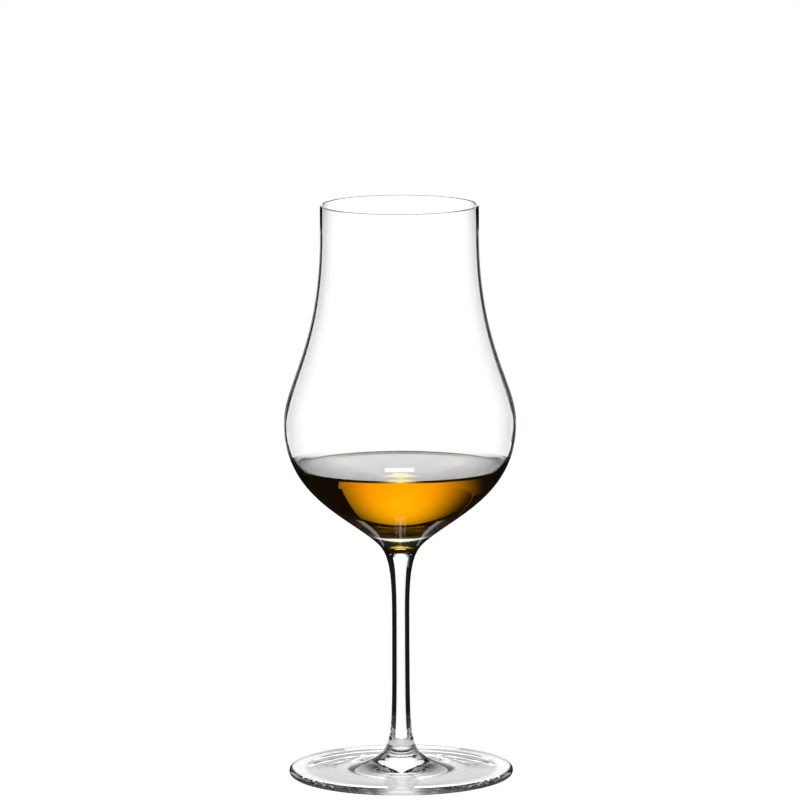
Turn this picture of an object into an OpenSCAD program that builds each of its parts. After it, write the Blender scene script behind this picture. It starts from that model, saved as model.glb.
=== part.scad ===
// Stemmed snifter glass with a short pour of spirit in its bowl.
// The glass is three gathers of clear glass joined hot: a blown bowl, a drawn stem and a spun foot.
// The origin is the middle of the plane the foot stands on, and +Z runs up the axis of the glass.

/* [Foot] */
// Outside diameter of the foot
foot_d = 64.4; // [54:0.2:80]
// Thickness of the foot at its rounded edge
foot_edge_t = 2.2; // [1.4:0.1:2.8]
// Height of the foot at its middle, where the stem is joined to it
foot_h = 6.4; // [5.6:0.1:9]
// Diameter of the joint between foot and stem
boss_d = 10.5; // [8:0.1:13]
// Angle of the mound below the horizontal, just under that joint
mound_angle = 37; // [30:1:42]
// Reach of that angle out into the foot
mound_pull = 9.5; // [6:0.1:10.5]
// Reach of the nearly level plate inwards from the edge
plate_pull = 13.5; // [8:0.5:16]
// Slope of the plate at the edge
plate_slope = 1; // [0:0.5:3]
// Width of the flat ring under the edge on which the glass stands
land_w = 3.5; // [2:0.1:8]
// Rise of the shallow hollow under the foot at its middle
hollow_rise = 1.2; // [0.4:0.1:2]

/* [Stem] */
// Length of the stem between foot and bowl
stem_l = 61.1; // [52:0.1:92]
// Diameter of the stem at its neck, the thinnest place
stem_d = 5; // [4:0.1:6.5]
// Height of the neck above the joint with the foot
neck_h = 39.6; // [36:0.1:43]
// Reach of the neck's upright line downwards
neck_pull_down = 34; // [20:0.1:36]
// Reach of the neck's upright line upwards
neck_pull_up = 13.6; // [8:0.1:16]
// Angle of the stem above the horizontal, just over its joint with the foot
flare_angle = 59; // [50:1:75]
// Reach of that angle up into the stem
flare_pull = 4.8; // [2:0.1:6]
// Reach of the bowl joint's angle down into the stem
stem_bowl_pull = 4.6; // [2:0.1:6]

/* [Bowl] */
// Height of the bowl from its joint with the stem to the rim
bowl_h = 97.5; // [90:0.5:120]
// Diameter of the joint between bowl and stem
seat_d = 13.7; // [12:0.1:18]
// Angle of the outline above the horizontal at that joint
seat_angle = 42.6; // [38:0.2:48]
// Reach of that angle up into the bowl
seat_pull = 11.9; // [8:0.1:16]
// Outside diameter of the belly, the widest place of the bowl
belly_d = 66.4; // [62:0.1:80]
// Height of the belly above the joint with the stem
belly_h = 34.5; // [32:0.5:42]
// Reach of the belly's upright line downwards
belly_pull_down = 20.3; // [18.5:0.1:24]
// Reach of the belly's upright line upwards
belly_pull_up = 11.8; // [6:0.1:20]
// Outside diameter of the chimney, the straight mouth of the bowl
rim_d = 45.3; // [38:0.1:56]
// Length of the chimney
chimney_l = 8; // [2:0.5:20]
// Reach of the chimney's line down into the shoulder
shoulder_pull = 33; // [20:0.5:40]
// Thickness of the chimney's wall, which ends in a full round rim
rim_wall = 0.7; // [0.6:0.1:1.6]
// Thickness of the wall at the belly
belly_wall = 0.8; // [0.7:0.1:1.6]
// Thickness of glass between the joint with the stem and the hollow of the bowl
base_t = 4.5; // [4:0.1:6]
// Reach of the hollow's level floor outwards from the axis
floor_pull = 5.6; // [4:0.1:9]
// Inside diameter at the heel, where the thick base passes into the wall
heel_d = 31.6; // [27:0.2:33]
// Height of the heel above the joint with the stem
heel_h = 11.5; // [10:0.1:13]
// Angle of the inside above the horizontal at the heel
heel_angle = 33.2; // [30:0.1:38]
// Reach of that angle down towards the floor
heel_pull_down = 8.1; // [5:0.1:9]
// Reach of that angle up into the wall
heel_pull_up = 9.8; // [7:0.1:11]
// Reach of the belly's upright line downwards, inside
belly_pull_inside = 15; // [12:0.1:16.5]

/* [Spirit] */
// Depth of the pour over the floor of the hollow, at its level middle
pour_depth = 17.4; // [6:0.1:60]
// How far the spirit climbs the wall all round
climb_h = 0.9; // [0.2:0.1:1.8]
// Width of the ring in which it climbs
climb_w = 4.2; // [2:0.1:6]

/* [Smoothness] */
// Straight pieces in each long curve of an outline
curve_steps = 20; // [14:1:32]
// Straight pieces in each small round edge
edge_steps = 8; // [6:1:12]

/* [Hidden] */
$fn = 128;

// Heights of the joints and turning places of the outline
seat_z = foot_h + stem_l;
floor_z = seat_z + base_t;
heel_z = seat_z + heel_h;
pour_z = floor_z + pour_depth;
climb_z = pour_z + climb_h;
belly_z = seat_z + belly_h;
rim_z = seat_z + bowl_h;
chimney_z = rim_z - chimney_l;

// Outline points, as radius and height, that two pieces or two curves share
boss = [boss_d / 2, foot_h];
neck = [stem_d / 2, foot_h + neck_h];
seat = [seat_d / 2, seat_z];
heel = [heel_d / 2, heel_z];
belly = [belly_d / 2, belly_z];
chimney = [rim_d / 2, chimney_z];
belly_inside = belly - [belly_wall, 0];
chimney_inside = chimney - [rim_wall, 0];

// Point at share t of the cubic curve from a to d with the handle points b and c
function curve_point(a, b, c, d, t) =
    pow(1 - t, 3) * a + 3 * t * pow(1 - t, 2) * b + 3 * t * t * (1 - t) * c + pow(t, 3) * d;

// Points along that curve, without the end that the next curve starts from
function curve(a, b, c, d) =
    [for (i = [0 : curve_steps - 1]) curve_point(a, b, c, d, i / curve_steps)];

// Unit step at an angle above the horizontal
function heading(angle) = [cos(angle), sin(angle)];

// Unit step straight up
up = heading(90);

// Points of a round edge about a centre, from one angle to another
function round_edge(centre, radius, start, end) =
    [for (i = [0 : edge_steps]) centre + radius * heading(start + (end - start) * i / edge_steps)];

// A list of points in the opposite order
function reversed(points) = [for (i = [len(points) - 1 : -1 : 0]) points[i]];

// Foot: top from the boss out to the edge, round edge, standing ring, hollow
edge_r = foot_edge_t / 2;
edge_centre = [foot_d / 2 - edge_r, edge_r];
edge_top = edge_centre + edge_r * up;
land_in = edge_centre[0] - land_w;
foot_top = curve(
    boss,
    boss + mound_pull * heading(-mound_angle),
    edge_top + plate_pull * heading(180 - plate_slope),
    edge_top
);
// The hollow under the foot is a shallow dome, highest on the axis
foot_hollow = [
    for (i = [0 : curve_steps])
        let (r = land_in * (1 - i / curve_steps))
        [r, hollow_rise * (1 - pow(r / land_in, 2))]
];
foot_outline = concat(
    [[0, foot_h]],
    foot_top,
    round_edge(edge_centre, edge_r, 90, -90),
    foot_hollow
);

// Stem: from the foot in to the neck, then out again to the bowl
stem_outline = concat(
    [[0, foot_h]],
    curve(
        boss,
        boss + flare_pull * heading(180 - flare_angle),
        neck - neck_pull_down * up,
        neck
    ),
    curve(
        neck,
        neck + neck_pull_up * up,
        seat - stem_bowl_pull * heading(seat_angle),
        seat
    ),
    [seat, [0, seat_z]]
);

// Bowl, outside: from the stem out to the belly, then in to the chimney
bowl_outside = concat(
    curve(
        seat,
        seat + seat_pull * heading(seat_angle),
        belly - belly_pull_down * up,
        belly
    ),
    curve(
        belly,
        belly + belly_pull_up * up,
        chimney - shoulder_pull * up,
        chimney
    ),
    [chimney]
);
// Bowl, inside: from the floor on the axis over the heel and the belly up to the chimney
bowl_inside = concat(
    curve(
        [0, floor_z],
        [floor_pull, floor_z],
        heel - heel_pull_down * heading(heel_angle),
        heel
    ),
    curve(
        heel,
        heel + heel_pull_up * heading(heel_angle),
        belly_inside - belly_pull_inside * up,
        belly_inside
    ),
    curve(
        belly_inside,
        belly_inside + belly_pull_up * up,
        chimney_inside - shoulder_pull * up,
        chimney_inside
    ),
    [chimney_inside]
);
rim_r = rim_wall / 2;
bowl_outline = concat(
    [[0, seat_z]],
    bowl_outside,
    round_edge([rim_d / 2 - rim_r, rim_z - rim_r], rim_r, 0, 180),
    reversed(bowl_inside)
);

// Spirit: fills the hollow up to a level top, which climbs the wall in a narrow ring
climb_r = lookup(climb_z, [for (p = bowl_inside) [p[1], p[0]]]);
spirit_top = [
    for (i = [0 : edge_steps])
        let (inwards = i / edge_steps)
        [climb_r - climb_w * inwards, pour_z + climb_h * pow(1 - inwards, 3)]
];
spirit_outline = concat(
    [for (p = bowl_inside) if (p[1] < climb_z) p],
    spirit_top,
    [[0, pour_z]]
);

// A piece turned about the axis of the glass
module turned(outline) {
    rotate_extrude() polygon(outline);
}

module foot() {
    color([0.84, 0.88, 0.90, 0.45]) turned(foot_outline);
}

module stem() {
    color([0.90, 0.93, 0.95, 0.45]) turned(stem_outline);
}

module bowl() {
    color([0.93, 0.95, 0.97, 0.30]) turned(bowl_outline);
}

module spirit() {
    color([0.80, 0.40, 0.03, 0.85]) turned(spirit_outline);
}

foot();
stem();
bowl();
spirit();
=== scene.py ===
import math

import bpy
import numpy as np
from mathutils import Matrix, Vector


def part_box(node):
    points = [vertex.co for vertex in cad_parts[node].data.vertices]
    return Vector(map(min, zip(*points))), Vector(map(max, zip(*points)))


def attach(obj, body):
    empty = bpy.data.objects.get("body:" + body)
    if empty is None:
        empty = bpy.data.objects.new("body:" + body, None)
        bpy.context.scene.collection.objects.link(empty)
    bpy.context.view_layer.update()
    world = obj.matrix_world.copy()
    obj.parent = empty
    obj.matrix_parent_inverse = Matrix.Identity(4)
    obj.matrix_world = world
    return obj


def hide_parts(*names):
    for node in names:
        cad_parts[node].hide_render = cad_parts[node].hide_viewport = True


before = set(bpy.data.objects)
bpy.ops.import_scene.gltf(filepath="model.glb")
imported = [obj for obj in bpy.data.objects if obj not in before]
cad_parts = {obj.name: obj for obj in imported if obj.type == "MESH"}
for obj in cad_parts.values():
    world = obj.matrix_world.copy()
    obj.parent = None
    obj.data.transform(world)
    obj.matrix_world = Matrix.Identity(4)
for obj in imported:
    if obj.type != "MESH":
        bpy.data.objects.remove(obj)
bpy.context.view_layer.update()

# Foot
# A disc of clear glass, spun out flat while hot, with a low mound in its middle and a rounded edge.
# The mound is fused to the stem. The foot stands on a narrow flat ring round a shallow hollow.
MM = 0.001
AROUND = 256
PLAIN = 0
FUSED = 1


def curve(a, b, c, d, steps):
    """Cubic curve from a to d with handle points b and c, without its end: the weights of the
    four points are (1-t)^3, 3t(1-t)^2, 3t^2(1-t) and t^3."""
    t = (np.arange(steps) / steps)[:, None]
    a, b, c, d = (np.asarray(p, float) for p in (a, b, c, d))
    return (1 - t) ** 3 * a + 3 * t * (1 - t) ** 2 * b + 3 * t**2 * (1 - t) * c + t**3 * d


def heading(degrees):
    """Unit step (cos, sin) at an angle above the horizontal, as radius and height."""
    return np.array([math.cos(math.radians(degrees)), math.sin(math.radians(degrees))])


def round_edge(centre, radius, start, end, steps=16):
    """Arc about a centre from one angle to another: centre + radius (cos, sin)."""
    angle = np.radians(np.linspace(start, end, steps + 1))
    return np.asarray(centre) + radius * np.c_[np.cos(angle), np.sin(angle)]


def turned(name, outline, finish):
    """Closed surface of revolution: outline point (r, z) becomes (r cos a, r sin a, z) for a all the
    way round. The outline starts and ends on the axis, and runs with the piece on its left, so faces
    point outwards. finish gives each step of the outline its place in the piece's list of materials,
    and the flat faces of a fused joint aren't shaded smooth."""
    radius, height = outline[1:-1].T
    angle = np.arange(AROUND) * (2 * math.pi / AROUND)
    rings = len(radius)
    grid = np.empty((rings, AROUND, 3))
    grid[..., 0] = radius[:, None] * np.cos(angle)
    grid[..., 1] = radius[:, None] * np.sin(angle)
    grid[..., 2] = height[:, None]
    first = rings * AROUND
    last = first + 1
    ends = np.array([[0, 0, outline[0, 1]], [0, 0, outline[-1, 1]]])
    points = np.vstack([grid.reshape(-1, 3), ends])
    here = np.arange(rings * AROUND).reshape(rings, AROUND)
    beside = np.roll(here, -1, axis=1)
    quads = np.stack([here[:-1], beside[:-1], beside[1:], here[1:]], axis=-1).reshape(-1, 4)
    start_fan = np.stack([np.full(AROUND, first), beside[0], here[0]], axis=-1)
    end_fan = np.stack([np.full(AROUND, last), here[-1], beside[-1]], axis=-1)
    mesh = bpy.data.meshes.new(name)
    mesh.from_pydata(points.tolist(), [], start_fan.tolist() + quads.tolist() + end_fan.tolist())
    place = np.repeat(np.asarray(finish, np.int32), AROUND)
    mesh.polygons.foreach_set("use_smooth", place != FUSED)
    mesh.polygons.foreach_set("material_index", place)
    mesh.set_sharp_from_angle(angle=math.radians(40))
    mesh.update()
    piece = bpy.data.objects.new(name, mesh)
    bpy.context.scene.collection.objects.link(piece)
    return piece


def slow_waves(material, size, height, haze, thin, thick):
    """Detail of a clear body: noise with waves of that size lifts its surface by up to that height,
    dulls it by up to that haze, and runs its colour from the thin tint to the thick one."""
    nodes, links = material.node_tree.nodes, material.node_tree.links
    shader = nodes["Principled BSDF"]
    place = nodes.new("ShaderNodeTexCoord")
    waves = nodes.new("ShaderNodeTexNoise")
    waves.inputs["Scale"].default_value = 1 / size
    waves.inputs["Detail"].default_value = 2.0
    lift = nodes.new("ShaderNodeBump")
    lift.inputs["Strength"].default_value = 1.0
    lift.inputs["Distance"].default_value = height
    dull = nodes.new("ShaderNodeMapRange")
    dull.inputs["To Max"].default_value = haze
    tint = nodes.new("ShaderNodeMix")
    tint.data_type = "RGBA"
    tint.inputs["A"].default_value = (*thin, 1.0)
    tint.inputs["B"].default_value = (*thick, 1.0)
    links.new(place.outputs["Object"], waves.inputs["Vector"])
    links.new(waves.outputs["Fac"], lift.inputs["Height"])
    links.new(waves.outputs["Fac"], dull.inputs["Value"])
    links.new(waves.outputs["Fac"], tint.inputs["Factor"])
    links.new(lift.outputs["Normal"], shader.inputs["Normal"])
    links.new(dull.outputs["Result"], shader.inputs["Roughness"])
    links.new(tint.outputs["Result"], shader.inputs["Base Color"])


glass_bend = 1.5
glass_wave = 9 * MM
glass_wave_height = 0.003 * MM
glass_haze = 0.01
colourless = (1.0, 1.0, 1.0)
cool_grey = (0.985, 0.992, 0.996)


def clear_glass(name, bend):
    """Clear fire-polished glass, with the slow waves that hand work leaves and a breath of cool grey."""
    material = bpy.data.materials.new(name)
    material.use_nodes = True
    shader = material.node_tree.nodes["Principled BSDF"]
    shader.inputs["IOR"].default_value = bend
    shader.inputs["Transmission Weight"].default_value = 1.0
    slow_waves(material, glass_wave, glass_wave_height, glass_haze, colourless, cool_grey)
    return material


def fused_joint():
    """Nothing at all: the light passes, because the two gathers are one glass there."""
    material = bpy.data.materials.new("fused_joint")
    material.use_nodes = True
    nodes, links = material.node_tree.nodes, material.node_tree.links
    nodes.remove(nodes["Principled BSDF"])
    clear = nodes.new("ShaderNodeBsdfTransparent")
    links.new(clear.outputs["BSDF"], nodes["Material Output"].inputs["Surface"])
    return material


glass = clear_glass("clear_glass", glass_bend)
joint = fused_joint()

foot_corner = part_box("foot")[1]
foot_radius = foot_corner.x
foot_height = foot_corner.z
edge_radius = 1.1 * MM
land_width = 3.5 * MM
hollow_rise = 1.2 * MM
boss_radius = 5.25 * MM
mound_angle = 37
mound_pull = 9.5 * MM
plate_pull = 13.5 * MM
plate_slope = 1
hollow_steps = 48
land_steps = 8
top_steps = 160
boss = np.array([boss_radius, foot_height])
edge_centre = np.array([foot_radius - edge_radius, edge_radius])
edge_top = edge_centre + [0, edge_radius]
land_in = edge_centre[0] - land_width
# The hollow is a shallow dome: its height falls with the square of the distance from the axis
outwards = np.linspace(0, 1, hollow_steps + 1)[:-1]
foot_hollow = np.c_[land_in * outwards, hollow_rise * (1 - outwards**2)]
land_radius = np.linspace(land_in, edge_centre[0], land_steps + 1)[:-1]
foot_land = np.c_[land_radius, np.zeros(land_steps)]
foot_edge = round_edge(edge_centre, edge_radius, -90, 90)[:-1]
foot_top = curve(
    edge_top,
    edge_top + plate_pull * heading(180 - plate_slope),
    boss + mound_pull * heading(-mound_angle),
    boss,
    top_steps,
)
# Spinning leaves faint rings in the plate: a sine along the radius, strongest at a middle radius
ripple_height = 0.006 * MM
ripple_length = 2.4 * MM
ripple_middle = 22.5 * MM
ripple_reach = 4 * MM
ripple_share = np.exp(-((foot_top[:, 0] - ripple_middle) / ripple_reach) ** 2 / 2)
foot_top[:, 1] += ripple_height * ripple_share * np.sin(2 * math.pi * foot_top[:, 0] / ripple_length)
foot_outline = np.vstack([foot_hollow, foot_land, foot_edge, foot_top, [boss], [[0, foot_height]]])
foot_finish = np.full(len(foot_outline) - 1, PLAIN)
foot_finish[-1] = FUSED
foot = turned("foot", foot_outline, foot_finish)
foot.data.materials.append(glass)
foot.data.materials.append(joint)
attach(foot, "root")
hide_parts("foot")

# Stem
# A solid rod of clear glass, drawn out while soft, thinnest about two thirds of the way up.
# It flares at both ends, where it is fused to the mound of the foot and to the base of the bowl.
seat_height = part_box("stem")[1].z
seat_radius = 6.85 * MM
seat_angle = 42.6
neck_radius = 2.5 * MM
neck_height = foot_height + 39.6 * MM
neck_pull_down = 34 * MM
neck_pull_up = 13.6 * MM
flare_angle = 59
flare_pull = 4.8 * MM
stem_bowl_pull = 4.6 * MM
lower_steps = 96
upper_steps = 64
neck = np.array([neck_radius, neck_height])
seat = np.array([seat_radius, seat_height])
up = heading(90)
stem_lower = curve(
    boss,
    boss + flare_pull * heading(180 - flare_angle),
    neck - neck_pull_down * up,
    neck,
    lower_steps,
)
stem_upper = curve(
    neck,
    neck + neck_pull_up * up,
    seat - stem_bowl_pull * heading(seat_angle),
    seat,
    upper_steps,
)
stem_outline = np.vstack([[[0, foot_height]], stem_lower, stem_upper, [seat, [0, seat_height]]])
stem_finish = np.full(len(stem_outline) - 1, PLAIN)
stem_finish[[0, -1]] = FUSED
stem = turned("stem", stem_outline, stem_finish)
stem.data.materials.append(glass)
stem.data.materials.append(joint)
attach(stem, "root")
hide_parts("stem")

# Bowl
# A thin blown shell of clear glass, with a thick base, a round belly and a straight chimney whose rim
# is melted round. Its base is fused to the stem. Where the spirit wets its inside, light bends less than
# it does in air.
WET = 2
spirit_bend = 1.36
bowl_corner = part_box("bowl")[1]
rim_height = bowl_corner.z
belly_radius = bowl_corner.x
belly_height = seat_height + 34.5 * MM
seat_pull = 11.9 * MM
belly_pull_down = 20.3 * MM
belly_pull_up = 11.8 * MM
rim_radius = 22.65 * MM
chimney_length = 8 * MM
shoulder_pull = 33 * MM
rim_wall = 0.7 * MM
belly_wall = 0.8 * MM
base_thickness = 4.5 * MM
floor_pull = 5.6 * MM
heel_radius = 15.8 * MM
heel_height = seat_height + 11.5 * MM
heel_angle = 33.2
heel_pull_down = 8.1 * MM
heel_pull_up = 9.8 * MM
belly_pull_inside = 15 * MM
pour_depth = 17.4 * MM
climb_height = 0.9 * MM
belly_steps = 80
wall_steps = 64
base_steps = 48
heel = np.array([heel_radius, heel_height])
belly = np.array([belly_radius, belly_height])
chimney = np.array([rim_radius, rim_height - chimney_length])
belly_inside = belly - [belly_wall, 0]
chimney_inside = chimney - [rim_wall, 0]
floor_height = seat_height + base_thickness
pour_level = floor_height + pour_depth
climb_top = pour_level + climb_height
bowl_outside = np.vstack([
    curve(
        seat,
        seat + seat_pull * heading(seat_angle),
        belly - belly_pull_down * up,
        belly,
        belly_steps,
    ),
    curve(
        belly,
        belly + belly_pull_up * up,
        chimney - shoulder_pull * up,
        chimney,
        wall_steps,
    ),
])
bowl_inside = np.vstack([
    curve(
        [0, floor_height],
        [floor_pull, floor_height],
        heel - heel_pull_down * heading(heel_angle),
        heel,
        base_steps,
    ),
    curve(
        heel,
        heel + heel_pull_up * heading(heel_angle),
        belly_inside - belly_pull_inside * up,
        belly_inside,
        wall_steps,
    ),
    curve(
        belly_inside,
        belly_inside + belly_pull_up * up,
        chimney_inside - shoulder_pull * up,
        chimney_inside,
        wall_steps,
    ),
    [chimney_inside],
])
climb_radius = np.interp(climb_top, bowl_inside[:, 1], bowl_inside[:, 0])
wet_inside = np.vstack([bowl_inside[bowl_inside[:, 1] < climb_top], [[climb_radius, climb_top]]])
dry_inside = bowl_inside[bowl_inside[:, 1] > climb_top]
rim_edge = rim_wall / 2
rim_arc = round_edge([rim_radius - rim_edge, rim_height - rim_edge], rim_edge, 0, 180)
bowl_outline = np.vstack([
    [[0, seat_height]],
    bowl_outside,
    [chimney],
    rim_arc,
    dry_inside[::-1],
    wet_inside[::-1],
])
bowl_finish = np.full(len(bowl_outline) - 1, PLAIN)
bowl_finish[0] = FUSED
bowl_finish[1 - len(wet_inside):] = WET
bowl = turned("bowl", bowl_outline, bowl_finish)
bowl.data.materials.append(glass)
bowl.data.materials.append(joint)
bowl.data.materials.append(clear_glass("wet_glass", glass_bend / spirit_bend))
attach(bowl, "root")
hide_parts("bowl")

# Spirit
# A short pour of aged spirit, clear and amber. It lies in the hollow, level on top, and climbs the wall
# in a narrow ring where it wets the glass. Its sides are pressed a hair into the wall, so that no air
# shows between the two.
wetting = 0.03 * MM
climb_width = 4.2 * MM
climb_steps = 24
level_steps = 24
along = np.gradient(wet_inside, axis=0)
outward = np.c_[along[:, 1], -along[:, 0]]
outward /= np.linalg.norm(outward, axis=1)[:, None]
spirit_side = wet_inside + wetting * outward
spirit_side[0] = [0, floor_height - wetting]
spirit_side[-1, 1] = climb_top
# The climbing ring falls from the wall to the level as the cube of the way that is left
inwards = np.linspace(0, 1, climb_steps + 1)[1:]
climb_rise = (climb_top - pour_level) * (1 - inwards) ** 3
climb = np.c_[climb_radius - climb_width * inwards, pour_level + climb_rise]
level_radius = np.linspace(climb[-1, 0], 0, level_steps + 1)[1:]
level = np.c_[level_radius, np.full(level_steps, pour_level)]
spirit_outline = np.vstack([spirit_side, climb, level])
spirit = turned("spirit", spirit_outline, np.full(len(spirit_outline) - 1, PLAIN))
on_side = np.arange(len(spirit_outline) - 1) < len(spirit_side) - 1
bend = np.repeat(np.where(on_side, 1.0, spirit_bend), AROUND)
spirit.data.attributes.new("bend", "FLOAT", "FACE").data.foreach_set("value", bend)
spirit_wave = 14 * MM
spirit_wave_height = 0.002 * MM
spirit_haze = 0.006
faint_straw = (0.995, 0.985, 0.97)
amber = (0.955, 0.826, 0.0, 1.0)
amber_density = 160.0


def amber_spirit():
    """Clear liquid that takes up blue most and red least: light falls by exp(-density x (1 - colour) x
    depth). The attribute named bend is 1 on the sides, where the wet glass bends the light, and the
    spirit's own on top."""
    material = bpy.data.materials.new("amber_spirit")
    material.use_nodes = True
    nodes, links = material.node_tree.nodes, material.node_tree.links
    shader = nodes["Principled BSDF"]
    shader.inputs["Transmission Weight"].default_value = 1.0
    slow_waves(material, spirit_wave, spirit_wave_height, spirit_haze, colourless, faint_straw)
    own = nodes.new("ShaderNodeAttribute")
    own.attribute_name = "bend"
    links.new(own.outputs["Fac"], shader.inputs["IOR"])
    depth = nodes.new("ShaderNodeVolumeAbsorption")
    depth.inputs["Color"].default_value = amber
    depth.inputs["Density"].default_value = amber_density
    links.new(depth.outputs["Volume"], nodes["Material Output"].inputs["Volume"])
    return material


spirit.data.materials.append(amber_spirit())
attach(spirit, "root")
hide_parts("spirit")

# Camera
# A long lens two metres in front of the glass and somewhat above it, looking slightly down. Its height and
# distance come from the ellipses of the rim, the spirit and the foot.
camera = bpy.data.objects.new("camera", bpy.data.cameras.new("camera"))
bpy.context.scene.collection.objects.link(camera)
camera.data.lens = 318.73
camera.data.sensor_width = 36
camera.data.clip_end = 50
camera_height = 414.11 * MM
camera_back = 2000 * MM
look_height = 108.747 * MM
pitch = math.atan2(camera_height - look_height, camera_back)
roll = math.radians(-0.19)
camera.matrix_world = (
    Matrix.Translation((0, -camera_back, camera_height))
    @ Matrix.Rotation(math.pi / 2 - pitch, 4, "X")
    @ Matrix.Rotation(roll, 4, "Z")
)
bpy.context.scene.camera = camera

# Stage
# A set for clear glass in a dark studio. Glowing and black panels, which only the glass and the spirit show,
# hang on a stand and a turntable that follow the camera. Floor and background are white to the camera.
STUDIO_DARK = (0.01, 0.01, 0.01, 1)
WHITE = (1, 1, 1, 1)
world = bpy.data.worlds.new("studio")
bpy.context.scene.world = world
world.use_nodes = True
nodes, links = world.node_tree.nodes, world.node_tree.links
path = nodes.new("ShaderNodeLightPath")
mix = nodes.new("ShaderNodeMix")
mix.data_type = "RGBA"
mix.inputs["A"].default_value = STUDIO_DARK
mix.inputs["B"].default_value = WHITE
links.new(path.outputs["Is Camera Ray"], mix.inputs["Factor"])
links.new(mix.outputs["Result"], nodes["Background"].inputs["Color"])

# On the stand, z points at the camera and y up across its view. On the turntable, z is up and the camera
# lies towards -y. Both have their origin on the axis of the glass.
stand = bpy.data.objects.new("light_stand", None)
bpy.context.scene.collection.objects.link(stand)
stand.location = (0, 0, look_height)
facing = stand.constraints.new("TRACK_TO")
facing.target = camera
facing.track_axis = "TRACK_Z"
facing.up_axis = "UP_Y"
turntable = bpy.data.objects.new("turntable", None)
bpy.context.scene.collection.objects.link(turntable)
turning = turntable.constraints.new("LOCKED_TRACK")
turning.target = camera
turning.track_axis = "TRACK_NEGATIVE_Y"
turning.lock_axis = "LOCK_Z"


def panel(name, points, faces, strength, seen):
    """Flat faces between points in mm, with an even glow, or black at no strength. The camera and the
    floor don't see them, and the glass sees them reflected, refracted or both."""
    mesh = bpy.data.meshes.new(name)
    mesh.from_pydata((np.array(points) * MM).tolist(), [], faces)
    sheet = bpy.data.objects.new(name, mesh)
    bpy.context.scene.collection.objects.link(sheet)
    material = bpy.data.materials.new(name)
    material.use_nodes = True
    nodes, links = material.node_tree.nodes, material.node_tree.links
    nodes.remove(nodes["Principled BSDF"])
    glow = nodes.new("ShaderNodeEmission")
    glow.inputs["Strength"].default_value = strength
    links.new(glow.outputs["Emission"], nodes["Material Output"].inputs["Surface"])
    mesh.materials.append(material)
    sheet.visible_camera = False
    sheet.visible_shadow = False
    sheet.visible_diffuse = False
    sheet.visible_transmission = seen != "reflected"
    sheet.visible_glossy = seen != "refracted"
    return sheet


def hang(name, holder, corners, strength, seen):
    """One face with those corners, carried by the stand or the turntable."""
    sheet = panel(name, corners, [range(len(corners))], strength, seen)
    sheet.parent = holder
    return sheet


def fade(sheet, middle, spread, hole=False):
    """Makes a panel's glow fall off from a middle as strength x exp(-(x^2 + y^2 + z^2) / 2), where x, y
    and z are the distances from the middle over the spread. An endless spread has no fall-off. A hole
    takes that light away from the strength instead."""
    nodes, links = sheet.active_material.node_tree.nodes, sheet.active_material.node_tree.links
    glow_strength = nodes["Emission"].inputs["Strength"]
    strength = glow_strength.default_value
    place = nodes.new("ShaderNodeTexCoord")
    offset = nodes.new("ShaderNodeVectorMath")
    offset.operation = "SUBTRACT"
    offset.inputs[1].default_value = np.array(middle) * MM
    share = nodes.new("ShaderNodeVectorMath")
    share.operation = "MULTIPLY"
    share.inputs[1].default_value = 1 / (np.array(spread) * MM)
    square = nodes.new("ShaderNodeVectorMath")
    square.operation = "DOT_PRODUCT"
    half = nodes.new("ShaderNodeMath")
    half.operation = "MULTIPLY"
    half.inputs[1].default_value = -0.5
    fall = nodes.new("ShaderNodeMath")
    fall.operation = "EXPONENT"
    level = nodes.new("ShaderNodeMath")
    level.operation = "MULTIPLY_ADD"
    level.inputs[1].default_value = -strength if hole else strength
    level.inputs[2].default_value = strength if hole else 0.0
    links.new(place.outputs["Object"], offset.inputs[0])
    links.new(offset.outputs["Vector"], share.inputs[0])
    links.new(share.outputs["Vector"], square.inputs[0])
    links.new(share.outputs["Vector"], square.inputs[1])
    links.new(square.outputs["Value"], half.inputs[0])
    links.new(half.outputs["Value"], fall.inputs[0])
    links.new(fall.outputs["Value"], level.inputs[0])
    links.new(level.outputs["Value"], glow_strength)


def oblong(left, right, low, high, back):
    """Corners of an upright oblong on the stand that faces the camera, that far behind the glass."""
    return [(left, low, -back), (right, low, -back), (right, high, -back), (left, high, -back)]


def upright(side, far, near, low, high):
    """Corners of an upright oblong on the stand beside the glass, from far behind it to near."""
    return [(side, low, -far), (side, low, near), (side, high, near), (side, high, -far)]


BLACK = 0.0
BOX_GLOW = 2.2
back = 1000
endless = math.inf

# Behind the glass: the box over its middle, the paper under that, two dim patches low down, the ceiling
top_box = hang("top_box", stand, oblong(-700, 372, 170, 900, back), BOX_GLOW, "both")
fade(top_box, (-6, 310, 0), (222, 450, endless))
paper = hang("paper", stand, oblong(-245, 245, -480, 170, back), 1.25, "refracted")
fade(paper, (0, 0, 0), (200, endless, endless))
patch_glow = 0.2
patch_spread = (60, 80, endless)
right_patch = hang("right_patch", stand, oblong(110, 340, -800, -500, back), patch_glow, "refracted")
fade(right_patch, (225, -620, 0), patch_spread)
left_patch = hang("left_patch", stand, oblong(-350, -120, -800, -490, back), patch_glow, "refracted")
fade(left_patch, (-235, -610, 0), patch_spread)
hang("ceiling", stand, oblong(-300, 300, 1250, 1700, back), BOX_GLOW, "refracted")

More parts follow.
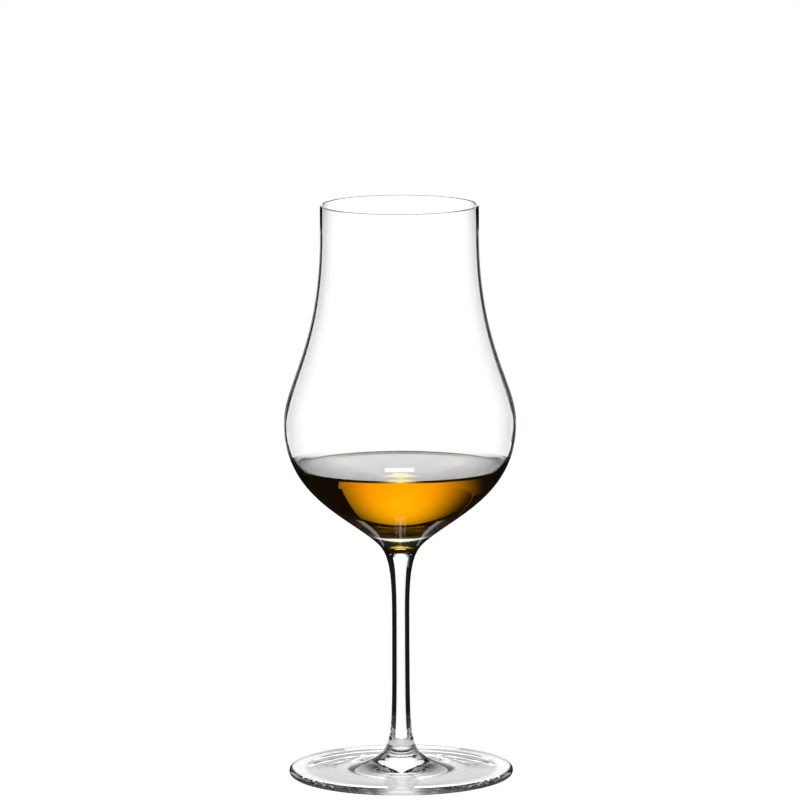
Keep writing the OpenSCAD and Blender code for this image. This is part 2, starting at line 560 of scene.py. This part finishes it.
# Reflections in the bowl and the spirit: a small spark, two side boxes and two low strips.
# The far edge of each side box is cut to a shape, given as height and depth.
spark_glow = 3.2
hang("spark", stand, oblong(-4.6, 4.2, -11.0, -9.0, 25), spark_glow, "reflected")
box_side = 300
box_near = [(400, -150), (-68, -150)]
right_far = [(-68, 430), (-25, 520), (25, 520), (45, 430), (100, 410), (130, 450), (400, 450)]
left_far = [(-68, 640), (-20, 610), (25, 540), (45, 480), (120, 470), (400, 450)]
right_edge = [(box_side, y, -depth) for y, depth in box_near + right_far]
left_edge = [(-box_side, y, -depth) for y, depth in box_near + left_far]
hang("right_box", stand, right_edge, BOX_GLOW, "reflected")
hang("left_box", stand, left_edge, BOX_GLOW, "reflected")
hang("right_low", stand, upright(70, 72, 40, -30, -19), BOX_GLOW, "reflected")
hang("left_low", stand, upright(-70, 75, 40, -30, -19), BOX_GLOW, "reflected")


def ring(name, inner, outer, strength):
    """Band round the axis between two circles, each a radius and a height in mm: (r cos a, r sin a, z)."""
    count = 64
    turn = np.linspace(0, 2 * math.pi, count + 1)[:-1]
    circle = np.c_[np.cos(turn), np.sin(turn), np.zeros(count)]
    points = np.vstack([circle * inner[0] + [0, 0, inner[1]], circle * outer[0] + [0, 0, outer[1]]])
    here = np.arange(count)
    beside = np.roll(here, -1)
    faces = np.c_[here, here + count, beside + count, beside].tolist()
    return panel(name, points, faces, strength, "refracted")


# Round the foot: a nearly black mat and a black skirt, which darken its edge
mat_glow = 0.02
ring("mat", (36, -0.3), (70, -0.3), mat_glow)
ring("skirt", (45, -1), (45, 4.5), BLACK)

# Behind the foot: a card and a brighter strip that its plate reflects
strip = [(-35, 50, 3), (35, 50, 3), (35, 50, 20), (-35, 50, 20)]
plate_card = hang("plate_card", turntable, strip, 1.25, "reflected")
fade(plate_card, (0, 0, 6), (60, endless, 8))
glint = [(-17, 49.5, 5.9), (17.5, 49.5, 5.9), (17.5, 49.5, 7.6), (-17, 49.5, 7.6)]
hang("plate_glint", turntable, glint, BOX_GLOW, "reflected")

# Under and beside the foot: a pale half disc on each side with a soft dark hole, and a black flag
half_turn = np.radians(np.linspace(-90, 90, 33))
disc_radius = 36
disc_glow = 0.8
hole_side = 14.5
hole_back = 18
hole_spread = (8, 16, endless)
flag_outline = [(-20, 5), (40, 5), (40, 45), (-20, 45)]
for side_name, side in (("right", 1), ("left", -1)):
    half_disc = [(disc_radius * side * math.cos(a), disc_radius * math.sin(a), -0.2) for a in half_turn]
    half_mat = hang(side_name + "_mat", turntable, half_disc, disc_glow, "refracted")
    fade(half_mat, (hole_side * side, hole_back, 0), hole_spread, hole=True)
    flag = [(disc_radius * side, y, z) for y, z in flag_outline]
    hang(side_name + "_flag", turntable, flag, BLACK, "reflected")

# Between foot and bowl: a black tray that keeps the bright mats out of the bowl's underside
tray_height = 30
tray_right = [(30, -45), (30, 14), (4, 14), (4, -4)]
tray_left = [(-x, y) for x, y in reversed(tray_right)]
hang("tray", turntable, [(x, y, tray_height) for x, y in tray_right + tray_left], BLACK, "reflected")

# Close behind the stem: a narrow card, tapered at the top, that makes the pale core between dark edges
card_back = 10
card_right = [(2.35, 6), (2.35, 56), (2.05, 61), (1.75, 66)]
card_left = [(-1.8, 66), (-2.1, 61), (-2.4, 56), (-2.4, 6)]
card = [(x, card_back, z) for x, z in card_right + card_left]
stem_card = hang("stem_card", turntable, card, 1.12, "refracted")
fade(stem_card, (0, 0, 0), (4.1, endless, endless))

# The floor's own glow and a weak, wide lamp straight above make it just white
floor_reach = 6.0
floor_corners = [(-1, -1), (1, -1), (1, 1), (-1, 1)]
floor_mesh = bpy.data.meshes.new("floor")
floor_mesh.from_pydata([(floor_reach * x, floor_reach * y, 0) for x, y in floor_corners], [], [range(4)])
floor = bpy.data.objects.new("floor", floor_mesh)
bpy.context.scene.collection.objects.link(floor)
floor_material = bpy.data.materials.new("floor")
floor_material.use_nodes = True
shader = floor_material.node_tree.nodes["Principled BSDF"]
shader.inputs["Base Color"].default_value = (0.8, 0.8, 0.8, 1)
shader.inputs["Roughness"].default_value = 1.0
shader.inputs["Emission Color"].default_value = WHITE
shader.inputs["Emission Strength"].default_value = 0.92
floor_mesh.materials.append(floor_material)
floor.visible_transmission = False
floor.visible_glossy = False

lamp = bpy.data.objects.new("overhead", bpy.data.lights.new("overhead", "SUN"))
lamp.data.angle = math.radians(60)
lamp.data.energy = 0.28
lamp.visible_glossy = False
lamp.visible_transmission = False
bpy.context.scene.collection.objects.link(lamp)

bpy.context.scene.view_settings.view_transform = "Standard"
bpy.context.scene.cycles.max_bounces = 32
bpy.context.scene.cycles.transmission_bounces = 32
bpy.context.scene.cycles.glossy_bounces = 16
